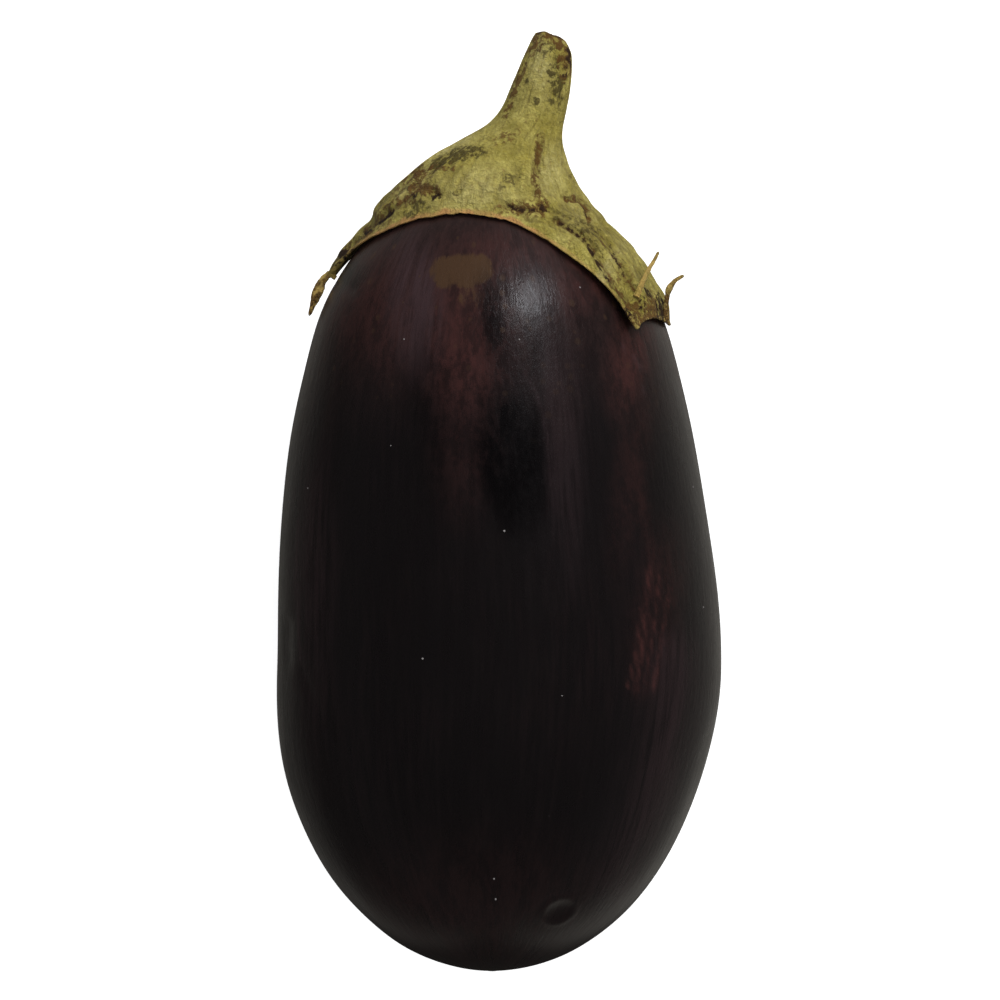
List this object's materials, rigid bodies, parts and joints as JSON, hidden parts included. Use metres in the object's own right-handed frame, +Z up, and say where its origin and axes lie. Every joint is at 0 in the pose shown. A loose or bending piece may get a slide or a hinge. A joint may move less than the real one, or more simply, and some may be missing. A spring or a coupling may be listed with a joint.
{
  "type": "eggplant",
  "caption": "Whole dark purple-black oblong eggplant lying on its side, with its olive green dried calyx, curled lobe tips and short bent stem.",
  "frame": {"origin": "middle of the small flat spot that the fruit rests on, on the ground plane", "axes": "+Z up, +Y towards the stem end, +X to the right when seen from above with the stem away from the viewer"},
  "size_m": [0.0955, 0.2011, 0.0922],
  "materials": {
    "skin": "satin to glossy skin, purple black with red brown mottling",
    "calyx": "matt dried leaf and stem, olive green with brown stains"
  },
  "bodies": {
    "root": {"fruit": "skin", "calyx_and_stem": "calyx"}
  },
  "joints": []
}
